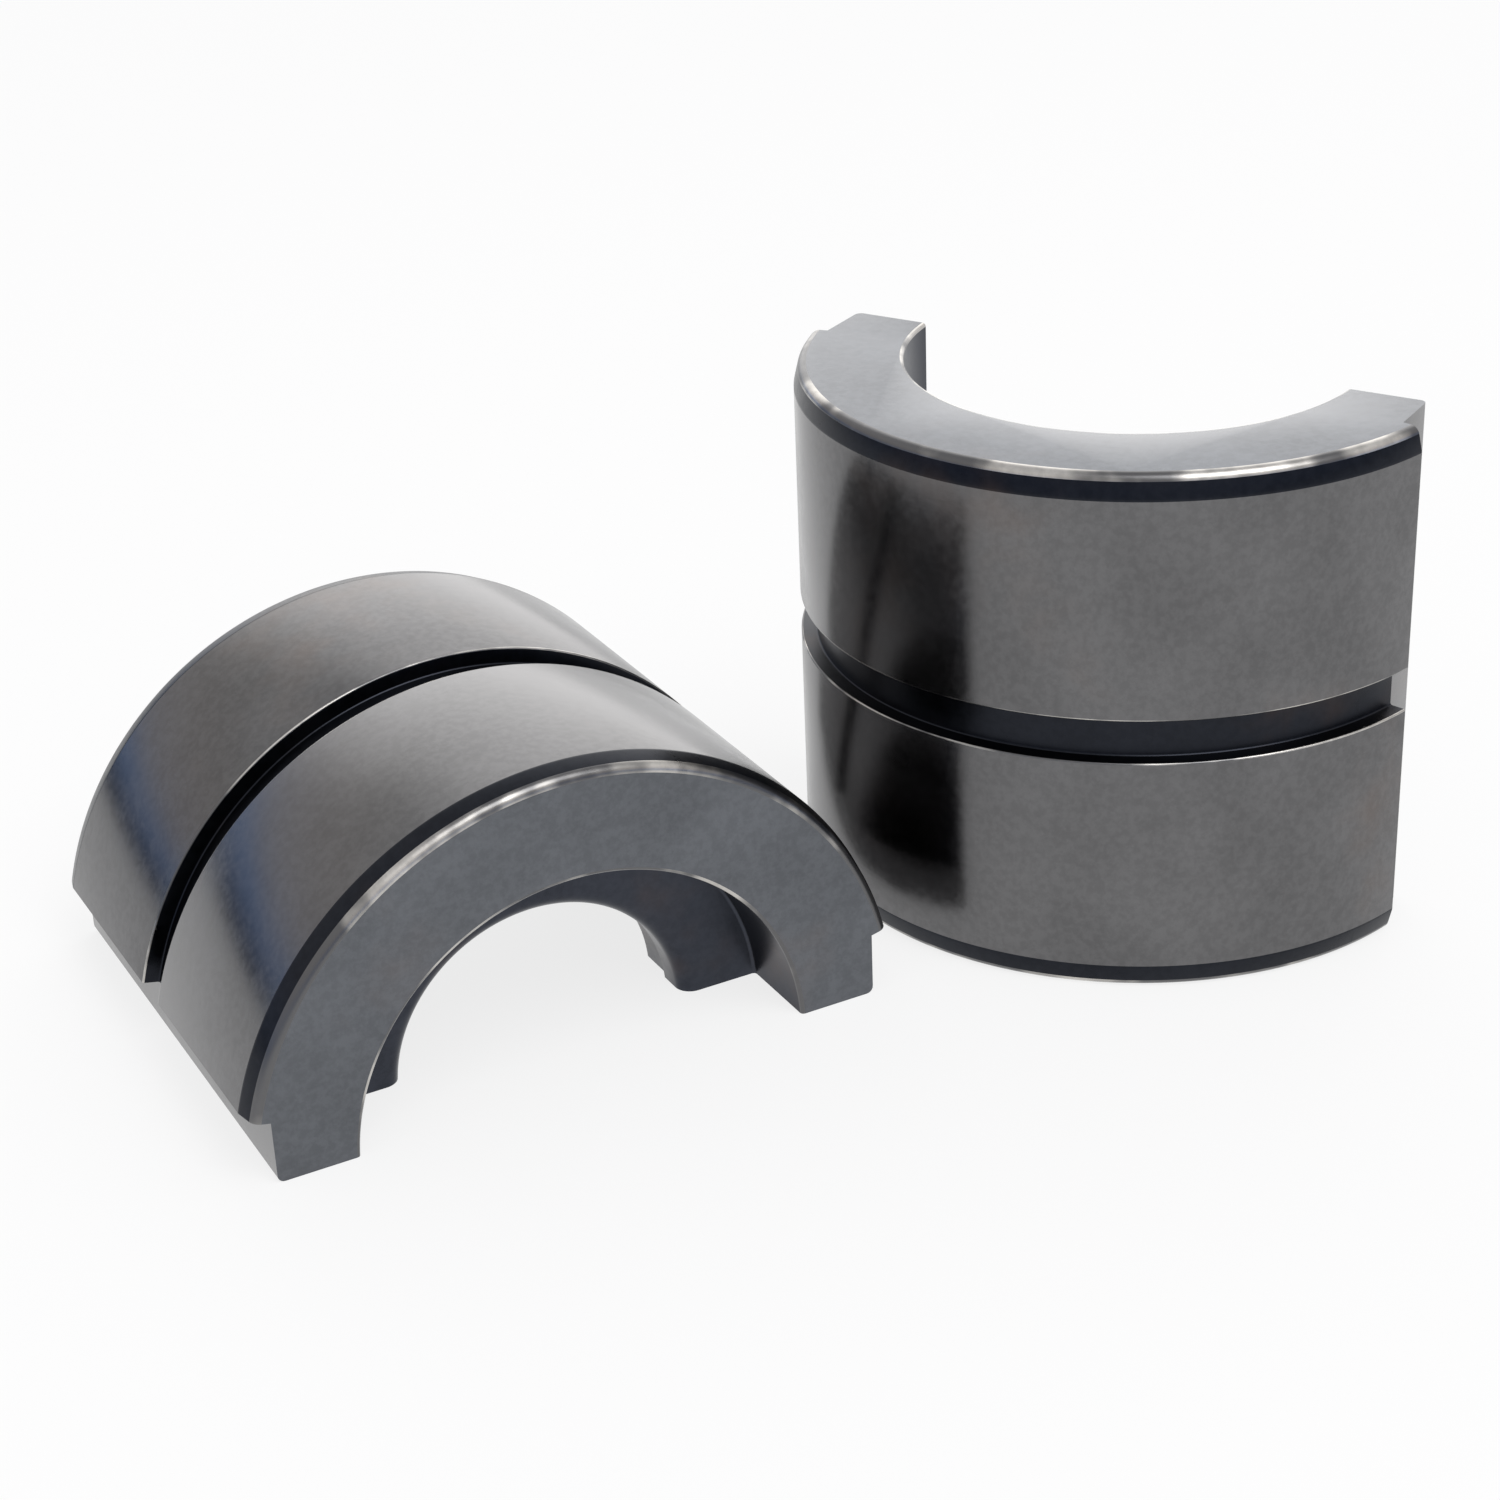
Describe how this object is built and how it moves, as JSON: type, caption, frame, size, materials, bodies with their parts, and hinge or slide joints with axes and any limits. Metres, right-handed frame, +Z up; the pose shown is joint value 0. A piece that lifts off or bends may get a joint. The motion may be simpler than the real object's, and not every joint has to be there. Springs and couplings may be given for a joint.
{
  "type": "press die set",
  "caption": "Split steel press die: half-round halves with a grooved outer seat, rebated edges and a stepped bore with two lands, for pressing sleeves on pipe or hose.",
  "frame": {"origin": "on the standing half's bore axis, in the plane of the bench that both halves rest on", "axes": "+Z up, along the standing half's bore; +Y along the lying half's bore; the lying half is on the -X side"},
  "size_m": [0.1549, 0.0943, 0.0698],
  "materials": {
    "tool_steel": "ground hardened tool steel, blackened, with worn bright edges"
  },
  "bodies": {
    "lying_half": {"lying_die_half": "tool_steel"},
    "standing_half": {"standing_die_half": "tool_steel"}
  },
  "joints": [
    {"name": "standing_lift", "type": "slide", "parent": "lying_half", "child": "standing_half", "axis": [0, 0, 1], "range_m": [0, 0.1]}
  ]
}
